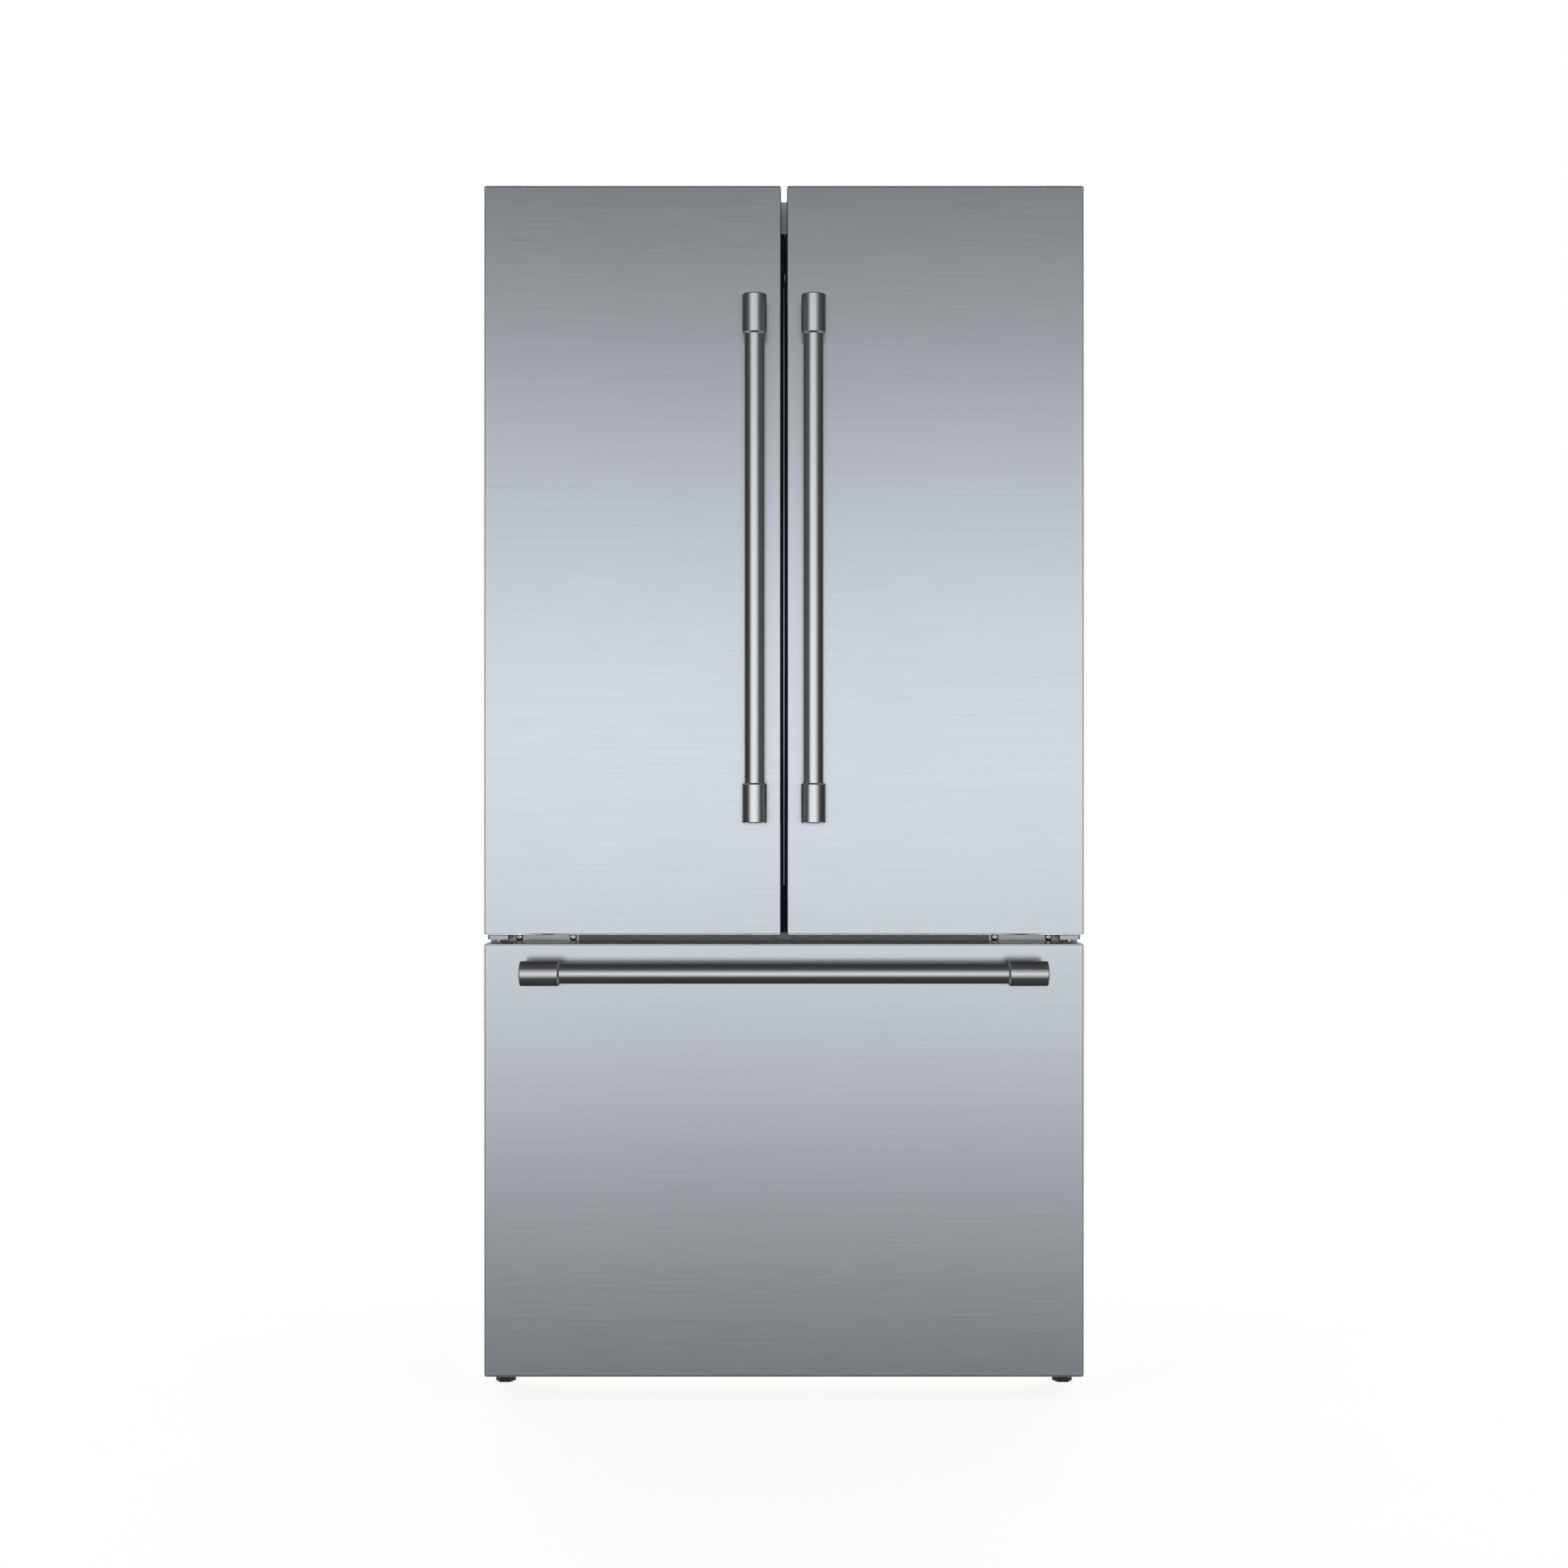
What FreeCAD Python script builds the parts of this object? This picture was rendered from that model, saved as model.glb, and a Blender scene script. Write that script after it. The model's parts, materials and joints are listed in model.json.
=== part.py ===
"""French door refrigerator with a bottom freezer drawer, in millimetres.

Origin: on the floor, at the centre of the footprint. +Z is up, the doors face -Y and +X is to the right
of someone standing in front of them.
"""
import FreeCAD, Part
import os
import re

import Sketcher

# ---------------------------------------------------------------- driving dimensions

DIMENSIONS = {
    # whole appliance
    "width": 905,  # across the doors and the case
    "depth": 790,  # front of the handles to the rear spacers
    "handle_reach": 66,  # door face to the front of the handle
    "door_thick": 62,
    "seal_gap": 14,  # back of the doors to the front of the case
    "seam": 9,  # between the two doors
    # heights above the floor
    "case_low": 60,
    "case_top": 1824,
    "door_low": 698,
    "door_top": 1829,
    "drawer_low": 31,
    "drawer_top": 685,
    "fresh_low": 745,
    "fresh_top": 1770,
    "freezer_low": 110,
    "freezer_top": 675,
    "step_top": 330,  # top of the hump over the machine compartment
    # walls
    "wall": 45,  # side wall: steel, foam and liner
    "liner": 2,  # moulded liner
    "sheet": 1.2,  # steel sheet
    "edge_round": 2.5,  # radius of the folded door edges
    "spacer": 10,  # rear spacers
    # handles
    "bar_radius": 15,
    "cap_radius": 18.5,
    "cap_length": 59.5,
    "handle_length": 786,
    "handle_low": 868,  # lower end of the door handles
    "handle_offset": 44,  # door handles from the centre line
    "drawer_handle_height": 644,
    # hinges
    "hinge_inset": 18.5,  # hinge pin from the side of the case
    "hinge_setback": 29,  # hinge pin behind the door face
    "pin_radius": 5,
    "pin_clearance": 0.06,
    # feet and rollers
    "foot_offset": 432,
    "foot_setback": 99,  # foot behind the door face
    "foot_radius": 15.5,  # across the corners of the six-sided pad, halved
    "foot_pad": 14,  # height of the pad
    "roller_radius": 20,
    "roller_width": 18,
    # drawers
    "crisper_wall": 2.5,
    "bin_wall": 2.5,
    "glass": 4,  # shelf glass
}

doc = FreeCAD.newDocument("french_door_refrigerator")
sheet = doc.addObject("Spreadsheet::Sheet", "Dims")
for row, (alias, number) in enumerate(DIMENSIONS.items(), 1):
    sheet.set(f"A{row}", alias)
    sheet.set(f"B{row}", str(number))
    sheet.setAlias(f"B{row}", alias)
doc.recompute()

# planes that many pieces share, as expressions in the sheet's names
FACE = "(handle_reach - depth / 2)"  # front face of the doors
DOOR_BACK = f"({FACE} + door_thick)"
CASE_FRONT = f"({DOOR_BACK} + seal_gap)"
CASE_BACK = "(depth / 2 - spacer)"
SIDE = "(width / 2)"
OPENING_SIDE = "(width / 2 - wall)"  # outside of the liners
ROOM_SIDE = "(width / 2 - wall - liner)"  # inside of the liners
LINER_BACK = f"({CASE_BACK} - 65)"
ROOM_BACK = f"({LINER_BACK} - liner)"
HINGE_X = "(width / 2 - hinge_inset)"
HINGE_Y = f"({FACE} + hinge_setback)"
BAR_Y = "(cap_radius - depth / 2)"  # axis of the handle bars
FOOT_Y = f"({FACE} + foot_setback)"
ROLLER_X = f"({SIDE} - 60)"
MACHINE_FRONT = 130  # front wall of the machine compartment
MACHINE_TOP = 305

sub_parts = []


# ---------------------------------------------------------------- helpers

def expression(text):
    """Sheet names in a plain expression become references to the sheet."""
    def in_sheet(match):
        word = match.group()
        return f"Dims.{word}" if word in DIMENSIONS else word

    return re.sub(r"[a-z_]+", in_sheet, str(text))


def bind(thing, attribute, text):
    thing.setExpression(attribute, expression(text))


def keep(thing, label):
    """Mark an object as a sub-part with its label, and return it."""
    thing.Label = label
    sub_parts.append(thing)
    return thing


def box(name, x, y, z):
    """A block between two planes on each axis."""
    block = doc.addObject("Part::Box", name)
    for attribute, axis, (low, high) in (("Length", "x", x), ("Width", "y", y), ("Height", "z", z)):
        bind(block, attribute, f"({high}) - ({low})")
        bind(block, f"Placement.Base.{axis}", low)
    return block


TURNS = {
    "x": FreeCAD.Rotation(FreeCAD.Vector(0, 1, 0), 90),
    "y": FreeCAD.Rotation(FreeCAD.Vector(1, 0, 0), -90),
    "z": FreeCAD.Rotation(),
}


def move(thing, base, turn=FreeCAD.Rotation()):
    thing.Placement = FreeCAD.Placement(FreeCAD.Vector(), turn)
    for axis, text in zip("xyz", base):
        bind(thing, f"Placement.Base.{axis}", text)
    return thing


def cylinder(name, base, radius, length, axis="z"):
    """A cylinder whose first end is at base, growing along the axis."""
    rod = doc.addObject("Part::Cylinder", name)
    bind(rod, "Radius", radius)
    bind(rod, "Height", length)
    return move(rod, base, TURNS[axis])


def fuse(name, pieces):
    joined = doc.addObject("Part::MultiFuse", name)
    joined.Shapes = pieces
    return joined


def cut(name, base, tools):
    trimmed = doc.addObject("Part::Cut", name)
    trimmed.Base = base
    trimmed.Tool = tools[0] if len(tools) == 1 else fuse(f"{name}_tools", tools)
    return trimmed


def group(name, pieces):
    """Separate solids that share one node."""
    together = doc.addObject("Part::Compound", name)
    together.Links = pieces
    return together


def outline(body, name, plane, points, offset=0):
    """A closed polygon sketch on one of the body's planes, with every corner bound to the sheet."""
    sketch = body.newObject("Sketcher::SketchObject", name)
    support = [feature for feature in body.Origin.OriginFeatures if feature.Role == plane][0]
    sketch.AttachmentSupport = [(support, "")]
    sketch.MapMode = "FlatFace"
    bind(sketch, ".AttachmentOffset.Base.z", offset)
    count = len(points)
    start = [FreeCAD.Vector(0, 500, 0)]
    for i in range(1, count):
        start.append(FreeCAD.Rotation(FreeCAD.Vector(0, 0, 1), 360 * i / count).multVec(start[0]))
    for i in range(count):
        sketch.addGeometry(Part.LineSegment(start[i], start[(i + 1) % count]), False)
    for i in range(count):
        sketch.addConstraint(Sketcher.Constraint("Coincident", i, 2, (i + 1) % count, 1))
    for i, (across, up) in enumerate(points):
        for kind, text, guess in (("DistanceX", across, start[i].x), ("DistanceY", up, start[i].y)):
            index = sketch.addConstraint(Sketcher.Constraint(kind, -1, 1, i, 1, guess))
            bind(sketch, f"Constraints[{index}]", text)
    return sketch


def pad(name, plane, points, low, high):
    """A body: a polygon on a plane, padded between two distances along the plane's axis."""
    body = doc.addObject("PartDesign::Body", name)
    offset = f"-({high})" if plane == "XZ_Plane" else low
    sketch = outline(body, f"{name}_outline", plane, points, offset)
    feature = body.newObject("PartDesign::Pad", f"{name}_pad")
    feature.Profile = sketch
    bind(feature, "Length", f"({high}) - ({low})")
    return body


def in_open_face(edge, box_of_all, open_side):
    """Is this edge part of the face that stays open, where a rim is cut later?"""
    bounds = edge.BoundBox
    if open_side == "top":
        return bounds.ZMin > box_of_all.ZMax - 0.01
    return open_side == "back" and bounds.YMin > box_of_all.YMax - 0.01


def rounded_box(name, x, y, z, radius, along="xyz", open_side=None):
    """A padded block whose edges along the given axes are filleted, but for those of an open side."""
    corners = [(x[0], y[0]), (x[1], y[0]), (x[1], y[1]), (x[0], y[1])]
    body = pad(name, "XY_Plane", corners, z[0], z[1])
    doc.recompute()
    block = body.Tip
    axes = [{"x": FreeCAD.Vector(1, 0, 0), "y": FreeCAD.Vector(0, 1, 0), "z": FreeCAD.Vector(0, 0, 1)}[a]
            for a in along]
    chosen = [f"Edge{i}" for i, edge in enumerate(block.Shape.Edges, 1)
              if any(abs(edge.tangentAt(edge.FirstParameter).dot(axis)) > 0.99 for axis in axes)
              and not in_open_face(edge, block.Shape.BoundBox, open_side)]
    fillet = body.newObject("PartDesign::Fillet", f"{name}_fillet")
    fillet.Base = (block, chosen)
    bind(fillet, "Radius", radius)
    return body


def turned(name, points, base, axis="z"):
    """A body of revolution: (radius, height) corners spun about an axis through base."""
    body = doc.addObject("PartDesign::Body", name)
    sketch = outline(body, f"{name}_profile", "XZ_Plane", points)
    spin = body.newObject("PartDesign::Revolution", f"{name}_spin")
    spin.Profile = sketch
    spin.ReferenceAxis = (sketch, ["V_Axis"])
    spin.Angle = 360
    return move(body, base, TURNS[axis])


def tub(name, x, y, z, wall, radius):
    """A thin-walled container with rounded corners, open at the top."""
    outside = rounded_box(f"{name}_outside", x, y, z, radius, "xyz", "top")
    hole = [(f"({low}) + {wall}", f"({high}) - {wall}") for low, high in (x, y)]
    height = (f"({z[0]}) + {wall}", f"({z[1]}) + 30")
    inside = rounded_box(f"{name}_inside", *hole, height, f"({radius}) - {wall}", "xyz", "top")
    return cut(name, outside, [inside])


def pan(name, x, z):
    """The folded steel pan of a door, open towards the back."""
    outside = rounded_box(f"{name}_outside", x, (FACE, f"{DOOR_BACK} - 4"), z, "edge_round", "xyz", "back")
    inside = box(f"{name}_inside", (f"({x[0]}) + sheet", f"({x[1]}) - sheet"), (f"{FACE} + sheet", DOOR_BACK),
                 (f"({z[0]}) + sheet", f"({z[1]}) - sheet"))
    return cut(name, outside, [inside])


def mirrored(side, span):
    """A span given for the right half, on the side asked for: +1 right, -1 left."""
    return span if side > 0 else (f"-({span[1]})", f"-({span[0]})")


def signed(side, text):
    return f"{side} * ({text})"


SIDES = {"left": -1, "right": 1}


# ---------------------------------------------------------------- case

def make_cabinet_shell():
    """Steel wrapper: two sides, the top, and a folded front flange around the openings."""
    outside = rounded_box("shell_outside", (f"-{SIDE}", SIDE), (CASE_FRONT, CASE_BACK),
                          ("case_low", "case_top"),
                          "edge_round", "yz")
    hollow = box("shell_hollow", (f"sheet - {SIDE}", f"{SIDE} - sheet"),
                 (f"{CASE_FRONT} + sheet", f"{CASE_BACK} + 5"),
                 ("case_low - 5", "case_top - sheet"))
    mouth = box("shell_mouth", (f"-{OPENING_SIDE}", OPENING_SIDE),
                (f"{CASE_FRONT} - 5", f"{CASE_FRONT} + 5"),
                ("freezer_low", "fresh_top"))
    keep(cut("cabinet_shell", outside, [hollow, mouth]), "cabinet_shell")


def make_center_rail():
    """Steel cross rail between the two compartments, a channel open to the back."""
    face = box("rail_face", (f"-{OPENING_SIDE}", OPENING_SIDE), (CASE_FRONT, f"{CASE_FRONT} + sheet"),
               ("freezer_top", "fresh_low"))
    lip_heights = (("freezer_top", "freezer_top + sheet"), ("fresh_low - sheet", "fresh_low"))
    lips = [box(f"rail_lip_{i}", (f"-{OPENING_SIDE}", OPENING_SIDE), (CASE_FRONT, f"{CASE_FRONT} + 30"), z)
            for i, z in enumerate(lip_heights)]
    keep(fuse("center_rail", [face] + lips), "center_rail")


def make_foam():
    """Foam filling, as slabs that meet face to face between the steel and the liners."""
    front = f"{CASE_FRONT} + sheet"
    back = f"{CASE_BACK} - 2"
    inner = f"{SIDE} - sheet"
    rail_back = f"{CASE_FRONT} + 30"
    slabs = [box(f"foam_{name}_wall", mirrored(side, (OPENING_SIDE, inner)), (front, back),
                 ("case_low + 2", "case_top - sheet")) for name, side in SIDES.items()]
    span = (f"-{OPENING_SIDE}", OPENING_SIDE)
    slabs += [
        box("foam_roof", span, (front, back), ("fresh_top", "case_top - sheet")),
        box("foam_divider", span, (rail_back, LINER_BACK), ("freezer_top", "fresh_low")),
        box("foam_back", span, (LINER_BACK, back), (MACHINE_TOP, "fresh_top")),
        box("foam_hump", span, (MACHINE_FRONT, LINER_BACK), (MACHINE_TOP, "step_top")),
        box("foam_hump_front", span, (MACHINE_FRONT - 25, MACHINE_FRONT), ("case_low + 2", "step_top")),
        box("foam_floor", span, (front, MACHINE_FRONT - 25), ("case_low + 2", "freezer_low")),
    ]
    keep(group("insulation_foam", slabs), "insulation_foam")


def make_liners():
    outside = box("fresh_outside", (f"-{OPENING_SIDE}", OPENING_SIDE), (f"{CASE_FRONT} + 1", LINER_BACK),
                  ("fresh_low", "fresh_top"))
    inside = rounded_box("fresh_inside", (f"-{ROOM_SIDE}", ROOM_SIDE), (f"{CASE_FRONT} - 20", ROOM_BACK),
                         ("fresh_low + liner", "fresh_top - liner"), 12, "y")
    keep(cut("fresh_food_liner", outside, [inside]), "fresh_food_liner")

    front = f"{CASE_FRONT} + 1"
    hump = MACHINE_FRONT - 25
    outer = [(front, "freezer_low"), (hump, "freezer_low"), (hump, "step_top"), (LINER_BACK, "step_top"),
             (LINER_BACK, "freezer_top"), (front, "freezer_top")]
    mouth = f"{CASE_FRONT} - 20"
    inner = [(mouth, "freezer_low + liner"), (f"{hump} - liner", "freezer_low + liner"),
             (f"{hump} - liner", "step_top + liner"), (ROOM_BACK, "step_top + liner"),
             (ROOM_BACK, "freezer_top - liner"), (mouth, "freezer_top - liner")]
    outside = pad("freezer_outside", "YZ_Plane", outer, f"-{OPENING_SIDE}", OPENING_SIDE)
    inside = pad("freezer_inside", "YZ_Plane", inner, f"-{ROOM_SIDE}", ROOM_SIDE)
    keep(cut("freezer_liner", outside, [inside]), "freezer_liner")


def make_back_panels():
    """Galvanised rear panel with pressed wall spacers, and the slotted cover of the machine compartment."""
    plate = box("back_plate", (f"sheet - {SIDE}", f"{SIDE} - sheet"), (f"{CASE_BACK} - 1", CASE_BACK),
                (MACHINE_TOP, "case_top - sheet"))
    spacers = [cylinder(f"back_spacer_{i}", (x, f"{CASE_BACK} - 0.5", z), 16, "spacer + 0.5", "y")
               for i, (x, z) in enumerate((x, z) for x in (-380, 380) for z in (420, 1700))]
    keep(fuse("back_panel", [plate] + spacers), "back_panel")

    cover = box("machine_plate", (f"sheet - {SIDE}", f"{SIDE} - sheet"), (f"{CASE_BACK} - 1", CASE_BACK),
                (62, MACHINE_TOP))
    slots = [box(f"machine_slot_{i}_{j}", (x, x + 90), (f"{CASE_BACK} - 5", f"{CASE_BACK} + 5"), (z, z + 7))
             for i, x in enumerate((-360, -240, -120, 40, 160)) for j, z in enumerate(range(130, 270, 20))]
    gland_hole = cylinder("machine_gland_hole", (-385, f"{CASE_BACK} - 5", 100), 9, 10, "y")
    water_hole = cylinder("machine_water_hole", (380, f"{CASE_BACK} - 5", 100), 12, 10, "y")
    keep(cut("machine_cover", cover, slots + [gland_hole, water_hole]), "machine_cover")


def make_base_frame():
    """Folded steel chassis: side channels, front cross member, machine tray, cheeks with roller axles."""
    pieces = []
    for name, side in SIDES.items():
        center = signed(side, ROLLER_X)
        pieces.append(cylinder(f"axle_{name}", (f"{center} - 14", 340, "roller_radius"), 3, 28, "x"))
        pieces += [box(f"cheek_{name}_{i}", (f"{center} + {x}", f"{center} + {x + 2}"), (326, 354), (12, 58))
                   for i, x in enumerate((-12, 10))]
        channel = box(f"base_{name}", mirrored(side, (f"{SIDE} - 42", f"{SIDE} - 2")),
                      (CASE_FRONT, f"{CASE_BACK} - 3"), (33, 60))
        hollow = box(f"base_{name}_hollow", mirrored(side, (f"{SIDE} - 40", f"{SIDE} - 4")),
                     (f"{CASE_FRONT} + 2", f"{CASE_BACK} - 5"), (30, 58))
        hole = cylinder(f"base_{name}_hole", (signed(side, "foot_offset"), FOOT_Y, 50), 6.2, 20)
        pieces.append(cut(f"base_{name}_channel", channel, [hollow, hole]))
    span = (f"40 - {SIDE}", f"{SIDE} - 40")
    pieces += [
        box("base_front", span, (f"{CASE_FRONT} + 2", f"{CASE_FRONT} + 42"), (56, 60)),
        box("base_tray", span, (MACHINE_FRONT + 5, f"{CASE_BACK} - 3"), (56, 60)),
    ]
    keep(fuse("base_frame", pieces), "base_frame")


def make_feet_and_rollers():
    """Front levelling feet on threaded rods, and rear rollers on steel axles."""
    feet = []
    for name, side in SIDES.items():
        foot_x = signed(side, "foot_offset")
        pad = doc.addObject("Part::Prism", f"foot_pad_{name}")
        pad.Polygon = 6
        bind(pad, "Circumradius", "foot_radius")
        bind(pad, "Height", "foot_pad")
        move(pad, (foot_x, FOOT_Y, 0))
        collar = cylinder(f"foot_collar_{name}", (foot_x, FOOT_Y, "foot_pad - 1"), 9, 4)
        rod = cylinder(f"foot_rod_{name}", (foot_x, FOOT_Y, 5), 6, 52)
        feet.append(fuse(f"front_foot_{name}", [pad, collar, rod]))
    keep(group("front_feet", feet), "front_feet")
    rim = [("3.05", "-roller_width / 2"), ("roller_radius - 1.5", "-roller_width / 2"),
           ("roller_radius", "1.5 - roller_width / 2"), ("roller_radius", "roller_width / 2 - 1.5"),
           ("roller_radius - 1.5", "roller_width / 2"), ("3.05", "roller_width / 2")]
    for name, side in SIDES.items():
        keep(turned(f"rear_roller_{name}", rim, (signed(side, ROLLER_X), 340, "roller_radius"), "x"),
             f"rear_roller_{name}")


# ---------------------------------------------------------------- cold rooms

def make_shelves():
    """Tempered glass shelves, their moulded trims, and the steel ladders and arms that carry them."""
    front, back = -120, 285
    shelves = {
        "shelf_upper_left": ("4 - (width / 2 - wall)", "-4", 1500),
        "shelf_upper_right": ("4", "(width / 2 - wall) - 4", 1440),
        "shelf_middle": ("4 - (width / 2 - wall)", "(width / 2 - wall) - 4", 1230),
    }
    trims = []
    for name, (low, high, height) in shelves.items():
        keep(box(name, (low, high), (front, back), (height, f"{height} + glass")), name)
        for end, y, z in (("front", front - 9, height - 8), ("rear", back, height)):
            top = f"{height} + glass + 3"
            trims.append(rounded_box(f"{name}_{end}_trim", (low, high), (y, y + 9), (z, top), 2, "x"))
    keep(group("shelf_trims", trims), "shelf_trims")

    steel = []
    for i, x in enumerate((-384, -140, 140, 384)):
        ladder = box(f"ladder_{i}", (x - 8, x + 8), (f"{ROOM_BACK} - 10", ROOM_BACK), (1110, 1730))
        slots = [box(f"ladder_{i}_slot_{j}", (x - 2.5, x + 2.5), (f"{ROOM_BACK} - 12", f"{ROOM_BACK} - 6"),
                     (z, z + 12)) for j, z in enumerate(range(1130, 1720, 30))]
        arms = []
        for name, (_, _, height) in shelves.items():
            if name == "shelf_middle" or (x < 0) == name.endswith("left"):
                arms.append(box(f"arm_{i}_{height}", (x - 2, x + 2), (front + 20, f"{ROOM_BACK} - 10"),
                                (height - 26, height)))
        steel += [cut(f"ladder_{i}_slotted", ladder, slots)] + arms
    keep(group("shelf_supports", steel), "shelf_supports")


def make_crisper_frame():
    """Glass lid over the crispers, and the moulded frame with its centre divider."""
    lid_width = (f"4 - {ROOM_SIDE}", f"{ROOM_SIDE} - 4")
    keep(box("crisper_lid", lid_width, (-98, 300), (970, "970 + glass")), "crisper_lid")
    pieces = [
        box("crisper_front_bar", (f"1 - {ROOM_SIDE}", f"{ROOM_SIDE} - 1"), (-106, -98), (960, 980)),
        box("crisper_divider", (-4, 4), (-98, 300), ("fresh_low + liner", 969)),
    ]
    for name, side in SIDES.items():
        pieces.append(box(f"crisper_ledge_{name}", mirrored(side, (f"{ROOM_SIDE} - 10", f"{ROOM_SIDE} - 1")),
                          (-98, 300), (960, 969)))
    keep(fuse("crisper_frame", pieces), "crisper_frame")


def make_fresh_fittings():
    """Air duct cover with vents, LED lamps and the touch control panel under the roof."""
    duct_depth = (f"{ROOM_BACK} - 22", f"{ROOM_BACK} - 1")
    vent_depth = (f"{ROOM_BACK} - 30", f"{ROOM_BACK} - 18")
    duct = rounded_box("duct_cover", (-105, 105), duct_depth, (1110, 1745), 6, "yz")
    vents = []
    for x in (-80, 20):
        for low in (1180, 1390, 1600):
            for slot in range(4):
                z = low + 7 * slot
                vents.append(box(f"duct_vent_{len(vents)}", (x, x + 60), vent_depth, (z, z + 3)))
    keep(cut("air_duct_cover", duct, vents), "air_duct_cover")
    roof = "fresh_top - liner"
    lamps = [rounded_box("lamp_roof", (-190, 190), (-40, 0), (f"{roof} - 7", roof), 3, "z")]
    for name, side in SIDES.items():
        lamp_width = mirrored(side, (f"{ROOM_SIDE} - 5", ROOM_SIDE))
        lamps.append(box(f"lamp_{name}", lamp_width, (-200, -188), (1100, 1700)))
    keep(group("led_lamps", lamps), "led_lamps")
    keep(rounded_box("control_panel", (-130, 130), (-165, -75), (f"{roof} - 14", roof), 6, "z"),
         "control_panel")


def finned_coil(name, x, y, z, fins, tubes):
    """Heat exchanger: thin fins on straight tube runs joined by end blocks."""
    (x_low, x_high), (y_low, y_high), (z_low, z_high) = x, y, z
    pitch = (x_high - x_low) / (fins - 1)
    centers = [x_low + i * pitch for i in range(fins)]
    plates = [box(f"{name}_fin_{i}", (x - 0.5, x + 0.5), y, z) for i, x in enumerate(centers)]
    rise = (z_high - z_low) / tubes
    runs = [cylinder(f"{name}_tube_{i}", (x_low - 12, (y_low + y_high) / 2, z_low + rise * (i + 0.5)), 4,
                     x_high - x_low + 24, "x") for i in range(tubes)]
    bends = [cylinder(f"{name}_bend_{i}", (x_low - 12 if i % 2 else x_high + 12, (y_low + y_high) / 2,
                                           z_low + rise * (i + 0.5)), 4, rise, "z") for i in range(tubes - 1)]
    keep(fuse(name, plates + runs + bends), name)


def fan(name, base, radius):
    """Axial fan rotor on the Y axis: a hub with a bored centre and pitched blades."""
    hub = cylinder(f"{name}_hub", base, 16, 18, "y")
    bore = cylinder(f"{name}_bore", (base[0], base[1] + 4, base[2]), "3 + pin_clearance", 16, "y")
    blades = []
    for i in range(5):
        blade = doc.addObject("Part::Box", f"{name}_blade_{i}")
        blade.Length = radius - 12
        blade.Width = 2
        blade.Height = 30
        spin = FreeCAD.Rotation(FreeCAD.Vector(0, 1, 0), 72 * i)
        pitch = FreeCAD.Rotation(FreeCAD.Vector(1, 0, 0), 62)
        reach = spin.multVec(FreeCAD.Vector(12, 0, 0))
        offset = spin.multVec(pitch.multVec(FreeCAD.Vector(0, -1, -15)))
        center = FreeCAD.Vector(base[0], base[1] + 9, base[2])
        blade.Placement = FreeCAD.Placement(center + reach + offset, spin.multiply(pitch))
        blades.append(blade)
    keep(cut(name, fuse(f"{name}_solid", [hub] + blades), [bore]), name)


def make_freezer_machinery():
    """Evaporator behind its cover, with a fan turning in the cover's duct."""
    finned_coil("evaporator_coil", (-290, 290), (266, 306), (350, 500), 28, 4)
    cover_width = (f"8 - {ROOM_SIDE}", f"{ROOM_SIDE} - 8")
    plate = rounded_box("evaporator_plate", cover_width, (250, 254), (336, 668), 8, "y")
    duct = cylinder("evaporator_duct", (0, 240, 590), 62, 60, "y")
    grille = [box(f"evaporator_slot_{i}_{j}", (x, x + 110), (240, 260), (z, z + 6))
              for i, x in enumerate((-340, 230)) for j, z in enumerate(range(540, 640, 16))]
    ring = cylinder("evaporator_ring", (0, 250, 590), 66, 40, "y")
    holed = cut("evaporator_housing", fuse("evaporator_front", [plate, ring]), [duct] + grille)
    motor = cylinder("evaporator_motor", (0, 284, 590), 20, 22, "y")
    shaft = cylinder("evaporator_shaft", (0, 264, 590), 3, 22, "y")
    strut = box("evaporator_strut", (-64, 64), (284, 288), (586, 594))
    keep(fuse("evaporator_cover", [holed, motor, shaft, strut]), "evaporator_cover")
    fan("evaporator_fan", (0, 258, 590), 56)


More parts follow.
